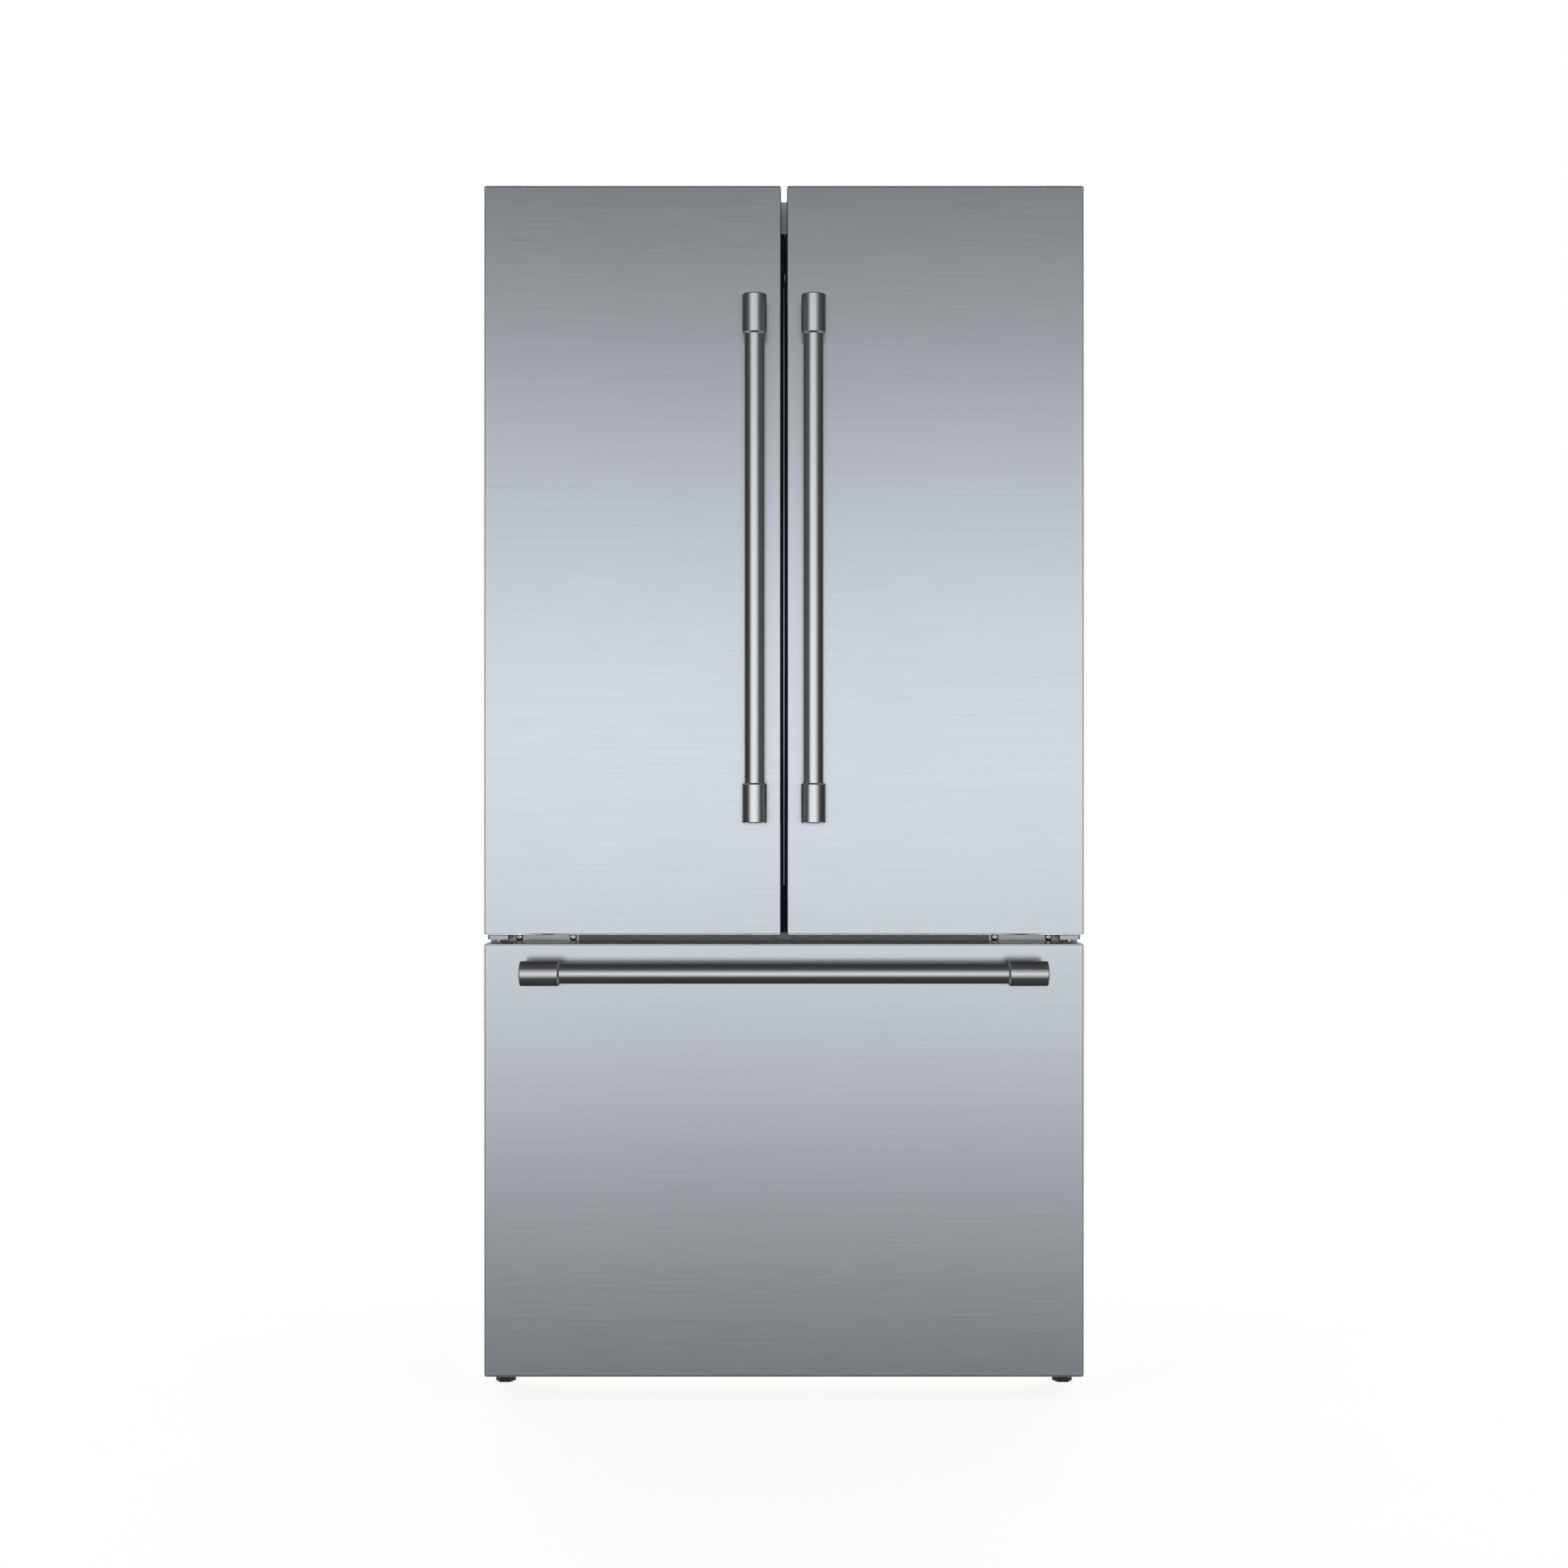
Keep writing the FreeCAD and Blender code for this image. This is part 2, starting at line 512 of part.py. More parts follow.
def make_machine_compartment():
    """Compressor on its tray, condenser and fan, power gland and water inlet."""
    shell = [(0, 0), (62, 0), (70, 14), (72, 60), (70, 105), (52, 138), (20, 150), (0, 152)]
    pot = turned("compressor_pot", shell, (-290, 260, 76))
    foot = rounded_box("compressor_foot", (-370, -210), (200, 320), (72, 77), 12, "z")
    pegs = [cylinder(f"compressor_peg_{i}", (x, y, 60), 9, 12) for i, (x, y) in
            enumerate((x, y) for x in (-355, -225) for y in (215, 305))]
    keep(fuse("compressor", [pot, foot] + pegs), "compressor")
    finned_coil("condenser_coil", (120, 330), (250, 290), (70, 250), 22, 5)
    fan_x, fan_z = 35, 125
    frame = box("fan_frame", (fan_x - 55, fan_x + 55), (262, 290), (fan_z - 55, fan_z + 55))
    throat = cylinder("fan_throat", (fan_x, 255, fan_z), 52, 40, "y")
    motor = cylinder("fan_motor", (fan_x, 284, fan_z), 18, 20, "y")
    shaft = cylinder("fan_shaft", (fan_x, 264, fan_z), 3, 22, "y")
    bar = box("fan_bar", (fan_x - 53, fan_x + 53), (284, 288), (fan_z - 4, fan_z + 4))
    fan_ring = cut("fan_ring", frame, [throat])
    keep(fuse("condenser_fan_frame", [fan_ring, motor, shaft, bar]), "condenser_fan_frame")
    fan("condenser_fan", (fan_x, 256, fan_z), 48)

    flange = [(0, 0), (14, 0), (14, 3), (8.9, 3), (8.9, 9), (0, 9)]
    socket = turned("gland_body", flange, (-385, f"{CASE_BACK} + 3", 100), "y")
    socket.Placement.Rotation = FreeCAD.Rotation(FreeCAD.Vector(1, 0, 0), 90)
    bore = cylinder("gland_bore", (-385, f"{CASE_BACK} - 2", 100), 4, 10, "y")
    keep(cut("cord_gland", socket, [bore]), "cord_gland")
    valve = box("valve_block", (362, 398), (345, 378), (80, 120))
    stem = cylinder("valve_stem", (380, 378, 100), 8, 8, "y")
    stub = cylinder("valve_stub", (380, 386, 100), 3.175, 9, "y")
    keep(fuse("water_inlet_valve", [valve, stem, stub]), "water_inlet_valve")


# ---------------------------------------------------------------- hinges

def make_hinges():
    tops, covers, middles, screws = [], [], [], []
    for name, side in SIDES.items():
        pin_x = signed(side, HINGE_X)
        arm = rounded_box(f"top_arm_{name}", mirrored(side, (f"{HINGE_X} - 44", f"{HINGE_X} + 11")),
                          (f"{HINGE_Y} - 11", -150), ("door_top + 1.5", "door_top + 4.5"), 9, "z")
        post = box(f"top_post_{name}", mirrored(side, (f"{HINGE_X} - 44", f"{HINGE_X} + 11")),
                   (f"{CASE_FRONT} + 12", -150), ("case_top", "door_top + 3"))
        pin = cylinder(f"top_pin_{name}", (pin_x, HINGE_Y, "door_top - 16"), "pin_radius", 20)
        tops.append(fuse(f"top_hinge_{name}", [arm, post, pin]))
        cover = rounded_box(f"cover_block_{name}", mirrored(side, (f"{HINGE_X} - 48", f"{HINGE_X} + 13")),
                            (-258, -140), ("case_top", "case_top + 16"), 3)
        room = box(f"cover_room_{name}", mirrored(side, (f"{HINGE_X} - 44.5", f"{HINGE_X} + 11.5")),
                   (-265, -149), ("case_top - 5", "door_top + 8"))
        covers.append(cut(f"hinge_cover_{name}", cover, [room]))

        plate_depth = (f"{CASE_FRONT} - 3", CASE_FRONT)
        plate = box(f"middle_plate_{name}", mirrored(side, (316, 425)), plate_depth, (684, 703))
        reach = rounded_box(f"middle_arm_{name}", mirrored(side, (416, f"{SIDE} - 2.5")),
                            (f"{HINGE_Y} - 11", CASE_FRONT), (690, 696.5), 5, "z")
        lower_pin = cylinder(f"middle_pin_{name}", (pin_x, HINGE_Y, 696), "pin_radius", 22)
        nut = cylinder(f"middle_nut_{name}", (pin_x, HINGE_Y, 686.8), 6, 3.5)
        middles.append(fuse(f"middle_hinge_{name}", [plate, reach, lower_pin, nut]))
        for i, x in enumerate((325, 408)):
            head = [(0, 0), (6, 0), (6, 1.4), (4.4, 3), (0, 3.4)]
            screw = turned(f"screw_{name}_{i}", head, (signed(side, x), f"{CASE_FRONT} - 3", 690))
            screw.Placement.Rotation = FreeCAD.Rotation(FreeCAD.Vector(1, 0, 0), 90)
            screws.append(screw)
        for i, y in enumerate((-225, -175)):
            seat = (signed(side, f"{HINGE_X} - 16"), y, "door_top + 4.5")
            screws.append(cylinder(f"top_screw_{name}_{i}", seat, 5, 2.5))
    keep(group("top_hinges", tops), "top_hinges")
    keep(group("hinge_covers", covers), "hinge_covers")
    keep(group("middle_hinges", middles), "middle_hinges")
    keep(group("hinge_screws", screws), "hinge_screws")


def make_center_stop():
    """Rounded door stop on the rail under the door seam, with the small door sensor plate beside it."""
    stop = rounded_box("stop_block", (-11, 11), (f"{CASE_FRONT} - 10", CASE_FRONT), (686.5, 705), 5, "y")
    plate = box("sensor_plate", (15, 37), (f"{CASE_FRONT} - 4", CASE_FRONT), (690, 697))
    keep(group("center_stop", [stop, plate]), "center_stop")


# ---------------------------------------------------------------- doors

def handle_cap(name, x, z, axis):
    """Ferrule at the end of a handle bar with the post behind it; its outer end is at x, z."""
    profile = [(0, 0), ("cap_radius - 1.5", 0), ("cap_radius", 1.5), ("cap_radius", "cap_length - 2.5"),
               ("bar_radius + 1", "cap_length"), (0, "cap_length")]
    ferrule = turned(f"{name}_ferrule", profile, (x, BAR_Y, z), "z")
    turn, step = axis
    ferrule.Placement.Rotation = turn
    middle = (f"({x}) + {step[0]} * cap_length / 2", f"({z}) + {step[1]} * cap_length / 2")
    post = cylinder(f"{name}_post", (middle[0], BAR_Y, middle[1]), 10, f"{FACE} - {BAR_Y}", "y")
    collar = cylinder(f"{name}_collar", (middle[0], f"{FACE} - 3", middle[1]), 13, 3, "y")
    return fuse(name, [ferrule, post, collar])


UP = (FreeCAD.Rotation(), (0, 1))
DOWN = (FreeCAD.Rotation(FreeCAD.Vector(1, 0, 0), 180), (0, -1))
RIGHT = (FreeCAD.Rotation(FreeCAD.Vector(0, 1, 0), 90), (1, 0))
LEFT = (FreeCAD.Rotation(FreeCAD.Vector(0, 1, 0), -90), (-1, 0))


def ring(name, x, y, z, thick):
    """A rectangular frame in the plane of the doors."""
    outside = box(f"{name}_outside", x, y, z)
    inside = box(f"{name}_inside", (f"({x[0]}) + {thick}", f"({x[1]}) - {thick}"),
                 (f"({y[0]}) - 5", f"({y[1]}) + 5"), (f"({z[0]}) + {thick}", f"({z[1]}) - {thick}"))
    return cut(name, outside, [inside])


def make_door(name, side):
    """One fresh food door: steel pan, moulded inner liner with its dyke, gasket, handle and bins."""
    span = mirrored(side, ("seam / 2", SIDE))
    skin = pan(f"{name}_pan", span, ("door_low", "door_top"))
    hole_radius = "pin_radius + pin_clearance"
    holes = [cylinder(f"{name}_pin_hole_{i}", (signed(side, HINGE_X), HINGE_Y, z), hole_radius, 4)
             for i, z in enumerate(("door_low - 1", "door_top - 3"))]
    keep(cut(f"{name}_door_panel", skin, holes), f"{name}_door_panel")

    plate = box(f"{name}_plate", mirrored(side, ("seam / 2 + 1", f"{SIDE} - 1")),
                (f"{DOOR_BACK} - 4", DOOR_BACK),
                ("door_low + 1", "door_top - 1"))
    dyke_depth = (f"{DOOR_BACK} - 2", f"{DOOR_BACK} + 26")
    dyke = ring(f"{name}_dyke", mirrored(side, (66, 395)), dyke_depth, (1085, 1745), 20)
    moulding = [plate, dyke]
    if name == "left":
        lugs = fuse("mullion_lugs", [box(f"mullion_lug_{i}", (-42, -30), (f"{DOOR_BACK} - 1", -244), z)
                                     for i, z in enumerate(((750, 758), (1754, 1763)))])
        bore = cylinder("mullion_lug_bore", (-36, -250, 740), "3 + pin_clearance", 1030)
        moulding.append(cut("mullion_bearings", lugs, [bore]))
    keep(fuse(f"{name}_door_liner", moulding), f"{name}_door_liner")

    seal = [ring(f"{name}_seal", mirrored(side, (10, HINGE_X)), (DOOR_BACK, f"{CASE_FRONT} - 0.5"),
                 (707, 1806), 16)]
    fin_depth = (f"{HINGE_Y} - 3", f"{HINGE_Y} + 3")
    fin_height = ("door_low + 2", "fresh_top - 7.5")
    if name == "left":
        fin = box("left_fin", ("-seam / 2", "0.9"), fin_depth, fin_height)
        bead = box("left_bead", ("-1.3", "1.2"), (f"{HINGE_Y} - 5", f"{HINGE_Y} + 2"), (772, 1680))
        seal.append(fuse("left_edge_seal", [fin, bead]))
    else:
        seal.append(box("right_edge_seal", ("1.4", "seam / 2"), fin_depth, fin_height))
    keep(group(f"{name}_door_gasket", seal), f"{name}_door_gasket")

    x = signed(side, "handle_offset")
    top = "handle_low + handle_length"
    keep(cylinder(f"{name}_handle_bar", (x, BAR_Y, "handle_low + cap_length"), "bar_radius",
                  "handle_length - 2 * cap_length"), f"{name}_handle_bar")
    keep(group(f"{name}_handle_caps", [handle_cap(f"{name}_cap_low", x, "handle_low", UP),
                                       handle_cap(f"{name}_cap_top", x, top, DOWN)]), f"{name}_handle_caps")

    bin_width = mirrored(side, (87, 374))
    bins = [tub(f"{name}_bin_{z}", bin_width, (f"{DOOR_BACK} + 0.5", -165), (z, z + 95), "bin_wall", 7)
            for z in (1112, 1330, 1560)]
    keep(group(f"{name}_door_bins", bins), f"{name}_door_bins")


def make_mullion():
    """Folding centre mullion, hinged on the left door and shown folded back against its dyke."""
    bar = rounded_box("mullion_bar", (-52, -34), (-255, -184), (760, 1752), 2)
    pins = [cylinder(f"mullion_pin_{i}", (-36, -250, z), 3, 11) for i, z in enumerate((750.5, 1751.5))]
    keep(fuse("folding_mullion", [bar] + pins), "folding_mullion")


def make_freezer_drawer():
    """Full-width drawer front on telescopic slides, with its basket."""
    span = (f"-{SIDE}", SIDE)
    keep(pan("drawer_pan", span, ("drawer_low", "drawer_top")), "drawer_panel")
    plate = box("drawer_plate", (f"1 - {SIDE}", f"{SIDE} - 1"), (f"{DOOR_BACK} - 4", DOOR_BACK),
                ("drawer_low + 1", "drawer_top - 1"))
    dyke = ring("drawer_dyke", (-394, 394), (f"{DOOR_BACK} - 2", f"{DOOR_BACK} + 24"), (130, 655), 20)
    keep(fuse("drawer_liner", [plate, dyke]), "drawer_liner")
    keep(ring("drawer_gasket", (f"-{HINGE_X}", HINGE_X), (DOOR_BACK, f"{CASE_FRONT} - 0.5"), (86, 683), 14),
         "drawer_gasket")
    half = "handle_length / 2"
    bar_end = (f"cap_length - {half}", BAR_Y, "drawer_handle_height")
    bar = cylinder("drawer_handle_bar", bar_end, "bar_radius",
                   "handle_length - 2 * cap_length", "x")
    keep(bar, "drawer_handle_bar")
    caps = [handle_cap("drawer_cap_left", f"-{half}", "drawer_handle_height", RIGHT),
            handle_cap("drawer_cap_right", half, "drawer_handle_height", LEFT)]
    keep(group("drawer_handle_caps", caps), "drawer_handle_caps")

    fixed, middle, inner = [], [], []
    for name, side in SIDES.items():
        rail = box(f"fixed_rail_{name}", mirrored(side, (391, ROOM_SIDE)), (-240, 240), (338, 388))
        groove_width = mirrored(side, (390, f"{ROOM_SIDE} - 2"))
        groove = box(f"fixed_groove_{name}", groove_width, (-242, 242), (340, 386))
        fixed.append(cut(f"fixed_slide_{name}", rail, [groove]))
        fixed.append(box(f"tray_rail_{name}", mirrored(side, (391, ROOM_SIDE)), (-225, 200), (470, 476)))
        middle.append(box(f"middle_slide_{name}", mirrored(side, (391, 402)), (-238, 238), (343, 383)))
        bar = box(f"inner_slide_{name}", mirrored(side, (379, 389)), (f"{DOOR_BACK} + 24", 222), (348, 376))
        foot_width = mirrored(side, (375, 389))
        foot = box(f"inner_bracket_{name}", foot_width, (f"{DOOR_BACK} + 24", -238), (300, 400))
        inner.append(fuse(f"drawer_slide_{name}", [bar, foot]))
    keep(group("cabinet_slides", fixed), "cabinet_slides")
    keep(group("intermediate_slides", middle), "intermediate_slides")
    keep(group("drawer_slides", inner), "drawer_slides")

    basket = tub("basket_tub", (-366, 366), (-232, 98), (132, 379.3), 2.5, 10)
    flanges = [box(f"basket_flange_{name}", mirrored(side, (365, 388)), (-222, 88), (376.3, 379.3))
               for name, side in SIDES.items()]
    keep(fuse("freezer_basket", [basket] + flanges), "freezer_basket")


def make_loose_drawers():
    """Upper freezer tray and the two crispers."""
    tray = tub("tray_tub", (-384, 384), (-222, 150), (440, 560), 2.5, 10)
    runners = [box(f"tray_runner_{name}", mirrored(side, (383, 403)), (-222, 150), (477, 482))
               for name, side in SIDES.items()]
    keep(fuse("freezer_tray", [tray] + runners), "freezer_tray")
    for name, side in SIDES.items():
        width = mirrored(side, (8, 401))
        bin_body = tub(f"crisper_tub_{name}", width, (-85, 290), (750, 950), "crisper_wall", 10)
        pull_width = mirrored(side, (110, 300))
        pull = rounded_box(f"crisper_pull_{name}", pull_width, (-90, -70), (925, 950), 4, "x")
        scoop = box(f"crisper_scoop_{name}", mirrored(side, (115, 295)), (-86, -60), (915, 944))
        crisper = fuse(f"crisper_solid_{name}", [bin_body, pull])
        keep(cut(f"crisper_{name}", crisper, [scoop]), f"crisper_{name}")


# ---------------------------------------------------------------- build and write

make_cabinet_shell()
make_center_rail()
make_foam()
make_liners()
make_back_panels()
make_base_frame()
make_feet_and_rollers()
make_shelves()
make_crisper_frame()
make_fresh_fittings()
make_freezer_machinery()
make_machine_compartment()
make_hinges()
make_center_stop()
for door_name, door_side in SIDES.items():
    make_door(door_name, door_side)
make_mullion()
make_freezer_drawer()
make_loose_drawers()
doc.recompute()

failed = [thing.Name for thing in doc.Objects if {"Invalid", "Error"} & set(thing.State)]
failed += [thing.Label for thing in sub_parts if thing.Shape.isNull() or not thing.Shape.isValid()]
if failed:
    raise RuntimeError(f"these objects failed: {failed}")

os.makedirs("parts", exist_ok=True)
for sub_part in sub_parts:
    sub_part.Shape.exportStep(f"parts/{sub_part.Label}.step")
print(f"{len(sub_parts)} sub-parts written")
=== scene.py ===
"""Looks of the french door refrigerator: materials, small detailed pieces, studio and camera. Metres."""
import json
import math

import bmesh
import bpy
from mathutils import Matrix, Vector


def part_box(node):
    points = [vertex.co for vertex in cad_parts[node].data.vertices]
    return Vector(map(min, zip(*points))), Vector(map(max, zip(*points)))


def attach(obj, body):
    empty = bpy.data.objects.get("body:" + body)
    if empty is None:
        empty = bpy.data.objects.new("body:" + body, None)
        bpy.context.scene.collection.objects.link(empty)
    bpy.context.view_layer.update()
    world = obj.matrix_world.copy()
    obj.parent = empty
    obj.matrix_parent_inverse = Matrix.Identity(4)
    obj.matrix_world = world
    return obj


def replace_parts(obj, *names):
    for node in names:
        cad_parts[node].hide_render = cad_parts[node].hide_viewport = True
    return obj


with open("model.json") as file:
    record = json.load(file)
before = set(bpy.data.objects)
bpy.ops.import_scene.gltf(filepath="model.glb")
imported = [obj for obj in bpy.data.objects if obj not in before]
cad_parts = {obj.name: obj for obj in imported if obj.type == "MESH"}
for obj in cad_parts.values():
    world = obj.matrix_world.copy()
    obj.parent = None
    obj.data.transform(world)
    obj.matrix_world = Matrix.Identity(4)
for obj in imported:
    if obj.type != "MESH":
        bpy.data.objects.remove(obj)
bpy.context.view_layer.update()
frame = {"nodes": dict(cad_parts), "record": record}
nodes = frame["nodes"]


# ---------------------------------------------------------------- material tools

class Surface:
    """One principled material, with short helpers for the textures that vary it."""

    def __init__(self, name, color, roughness, metallic=0.0, **inputs):
        self.material = bpy.data.materials.new(name)
        self.material.use_nodes = True
        self.tree = self.material.node_tree
        self.shader = next(node for node in self.tree.nodes if node.type == "BSDF_PRINCIPLED")
        self.color = color
        self.set("Base Color", (*color, 1.0))
        self.set("Roughness", roughness)
        self.set("Metallic", metallic)
        for label, value in inputs.items():
            self.set(label.replace("_", " "), value)
        self.place = self.add("ShaderNodeTexCoord").outputs["Object"]

    def set(self, label, value):
        self.shader.inputs[label].default_value = value

    def add(self, kind, **values):
        """A node with its input values set by name, or by place for unnamed ones."""
        node = self.tree.nodes.new(kind)
        for label, value in values.items():
            node.inputs[label.replace("_", " ")].default_value = value
        return node

    def link(self, source, target):
        self.tree.links.new(source, target)

    def noise(self, stretch, detail=3.0, roughness=0.55):
        """Noise of 0 to 1 whose features are 1 / stretch metres across on each axis."""
        mapping = self.add("ShaderNodeMapping", Scale=stretch)
        self.link(self.place, mapping.inputs["Vector"])
        texture = self.add("ShaderNodeTexNoise", Scale=1.0, Detail=detail, Roughness=roughness)
        self.link(mapping.outputs["Vector"], texture.inputs["Vector"])
        return texture.outputs["Fac"]

    def ramp(self, source, low, high, start=0.3, end=0.7):
        """The source's values between start and end, spread from low to high."""
        spread = self.add("ShaderNodeMapRange", From_Min=start, From_Max=end, To_Min=low, To_Max=high)
        self.link(source, spread.inputs["Value"])
        return spread.outputs["Result"]

    def shade(self, source, darkest, lightest):
        """Multiplies the base colour by a factor that follows the source."""
        factor = self.ramp(source, darkest, lightest)
        scale = self.tree.nodes.new("ShaderNodeVectorMath")
        scale.operation = "SCALE"
        base = self.shader.inputs["Base Color"]
        if base.is_linked:
            self.link(base.links[0].from_socket, scale.inputs[0])
        else:
            scale.inputs[0].default_value = self.color
        self.link(factor, scale.inputs["Scale"])
        self.link(scale.outputs["Vector"], base)
        return self

    def rough(self, source, low, high):
        self.link(self.ramp(source, low, high), self.shader.inputs["Roughness"])
        return self

    def bump(self, source, depth, strength=1.0):
        """Relief of the given depth in metres, added to any bump already there."""
        relief = self.add("ShaderNodeBump", Strength=strength, Distance=depth)
        self.link(source, relief.inputs["Height"])
        normal = self.shader.inputs["Normal"]
        if normal.is_linked:
            self.link(normal.links[0].from_socket, relief.inputs["Normal"])
        self.link(relief.outputs["Normal"], normal)
        return self

    def along(self, direction):
        """The direction in which reflections are drawn out, across the brush lines."""
        vector = self.add("ShaderNodeCombineXYZ", X=direction[0], Y=direction[1], Z=direction[2])
        self.link(vector.outputs["Vector"], self.shader.inputs["Tangent"])
        return self


def brushed_steel(name, color, roughness, grain, reflection=(0, 0, 1), stretch=0.6):
    """Satin stainless steel. grain gives the brush lines per metre on each axis."""
    surface = Surface(name, color, roughness, 1.0, Anisotropic=stretch)
    fine = surface.noise(grain, 4.0, 0.6)
    broad = surface.noise([lines / 9 for lines in grain], 2.0)
    cloud = surface.noise((2.5, 2.5, 1.8), 2.0)
    surface.shade(fine, 0.955, 1.035).shade(broad, 0.985, 1.012).shade(cloud, 0.985, 1.015)
    surface.rough(fine, roughness - 0.03, roughness + 0.04)
    surface.bump(fine, 0.00003, 0.15)
    return surface.along(reflection).material


def plastic(name, color, roughness, grain=900, depth=0.00006, **inputs):
    """Moulded plastic with a fine spark-eroded texture and slight unevenness."""
    surface = Surface(name, color, roughness, **inputs)
    texture = surface.noise((grain, grain, grain), 3.0)
    waviness = surface.noise((9, 9, 9), 2.0)
    surface.shade(waviness, 0.97, 1.02).rough(texture, roughness - 0.05, roughness + 0.07)
    return surface.bump(texture, depth, 0.35).material


def coated_metal(name, color, roughness, metallic=0.0, grain=500, depth=0.00008, **inputs):
    """Powder coat or plating: orange-peel relief, and soft blotches in its gloss."""
    surface = Surface(name, color, roughness, metallic, **inputs)
    peel = surface.noise((grain, grain, grain), 2.0)
    blotch = surface.noise((14, 14, 14), 4.0)
    surface.shade(blotch, 0.975, 1.02).rough(blotch, roughness - 0.03, roughness + 0.03)
    return surface.bump(peel, depth, 0.3).material


def galvanised(name, color):
    """Zinc sheet with its spangle."""
    surface = Surface(name, color, 0.42, 0.7)
    cells = surface.add("ShaderNodeTexVoronoi", Scale=110.0)
    surface.link(surface.place, cells.inputs["Vector"])
    surface.shade(cells.outputs["Color"], 0.95, 1.04).rough(cells.outputs["Color"], 0.38, 0.5)
    return surface.bump(surface.noise((300, 300, 300)), 0.00003, 0.2).material


def clear(name, color, roughness, alpha_low, alpha_high):
    """Clear sheet whose body shows faintly, so that it also reads well without refraction."""
    surface = Surface(name, color, roughness, IOR=1.5)
    haze = surface.noise((30, 30, 30), 3.0)
    surface.rough(haze, roughness, roughness + 0.05)
    slant = surface.add("ShaderNodeLayerWeight", Blend=0.35).outputs["Facing"]
    surface.link(surface.ramp(slant, alpha_low, alpha_high, 0.0, 1.0), surface.shader.inputs["Alpha"])
    return surface.material


STEEL = (0.60, 0.645, 0.695)
HANDLE_STEEL = (0.41, 0.42, 0.43)

# radiances of the studio, with 1 as white
BAND_LIGHT = 2.05
BAND_HEIGHT = 0.008  # middle of the soft panel above the horizon, as the sine of its elevation
BAND_REACH = 0.262  # where the panel has faded out
# where reflections start to change and where the change is done, as parts of a unit direction
BAND_SIDES = (-0.92, -0.5)  # forwards: the panel fades out
SOFTBOX_ACROSS = (0.28, 0.6)  # sideways: the softboxes begin
SOFTBOX_UP = (0.30, 0.55)  # up or down: the softboxes begin
WALL_BEHIND = (0.2, 0.6)  # backwards: the wall begins
SIDE_LIGHT = 0.8
FILL_LIGHT = 0.08
HANDLE_LIGHT = 0.95
DOOR_EDGE_LIGHT = 5.0
DRAWER_EDGE_LIGHT = 1.5
HEADER_LIGHT = 0.9

materials = {
    "brushed_panel": brushed_steel("brushed_panel", STEEL, 0.23, (9, 9, 2600), stretch=0.5),
    "handle_vertical": brushed_steel(
        "handle_vertical", HANDLE_STEEL, 0.30, (2200, 2200, 12), (1, 0, 0), 0.2),
    "handle_horizontal": brushed_steel(
        "handle_horizontal", HANDLE_STEEL, 0.33, (12, 2200, 2200), (0, 0, 1), 0.2),
    "case_paint": coated_metal("case_paint", (0.42, 0.425, 0.435), 0.38, 0.7, grain=700),
    "rail_paint": coated_metal("rail_paint", (0.38, 0.385, 0.395), 0.45, 0.4, grain=700),
    "galvanised": galvanised("galvanised", (0.62, 0.63, 0.65)),
    "black_paint": coated_metal("black_paint", (0.012, 0.012, 0.013), 0.28),
    "painted_steel": coated_metal("painted_steel", (0.62, 0.63, 0.64), 0.38),
    "hinge_steel": coated_metal("hinge_steel", (0.52, 0.53, 0.55), 0.34, 0.9),
    "slide_steel": coated_metal("slide_steel", (0.55, 0.56, 0.58), 0.30, 0.95),
    "screw_steel": coated_metal("screw_steel", (0.60, 0.61, 0.63), 0.25, 1.0),
    "trim_steel": brushed_steel("trim_steel", (0.62, 0.63, 0.64), 0.28, (12, 2200, 2200)),
    "copper": coated_metal("copper", (0.72, 0.36, 0.22), 0.30, 1.0),
    "fins": brushed_steel("fins", (0.78, 0.79, 0.80), 0.35, (60, 60, 900)),
    "foam": plastic("foam", (0.80, 0.68, 0.40), 0.8, 120, 0.0006),
    "liner": plastic("liner", (0.80, 0.81, 0.82), 0.34, 500, 0.00004),
    "trim_plastic": plastic("trim_plastic", (0.55, 0.56, 0.58), 0.36),
    "cover_plastic": plastic("cover_plastic", (0.055, 0.057, 0.06), 0.5),
    "fan_plastic": plastic("fan_plastic", (0.02, 0.02, 0.021), 0.45),
    "foot_plastic": plastic("foot_plastic", (0.010, 0.010, 0.011), 0.5),
    "panel_gloss": plastic("panel_gloss", (0.012, 0.012, 0.014), 0.12, 300, 0.00001),
    "gasket": plastic("gasket", (0.008, 0.008, 0.009), 0.62, 400, 0.0001),
    "bead": coated_metal("bead", (0.20, 0.205, 0.21), 0.16, 1.0),
    "stop_plastic": plastic("stop_plastic", (0.58, 0.59, 0.58), 0.45),
    "clear_plastic": clear("clear_plastic", (0.74, 0.79, 0.82), 0.08, 0.12, 0.55),
    "shelf_glass": clear("shelf_glass", (0.55, 0.72, 0.68), 0.03, 0.12, 0.7),
    "lamp": plastic(
        "lamp", (0.9, 0.9, 0.88), 0.4, Emission_Color=(1.0, 0.98, 0.94, 1.0), Emission_Strength=0.3),
}


def paint_cad_nodes():
    """Every CAD node takes the material of its slot in the record."""
    slot_of = {part["node"]: part["material_slot"] for part in frame["record"]["subparts"]}
    handles = {
        "left_handle_bar": "handle_vertical", "left_handle_caps": "handle_vertical",
        "right_handle_bar": "handle_vertical", "right_handle_caps": "handle_vertical",
        "drawer_handle_bar": "handle_horizontal", "drawer_handle_caps": "handle_horizontal",
    }
    special = {**handles, "center_rail": "rail_paint", "center_stop": "stop_plastic"}
    for name, node in nodes.items():
        chosen = materials[special.get(name, slot_of[name])]
        node.data.materials.clear()
        node.data.materials.append(chosen)


# ---------------------------------------------------------------- mesh tools

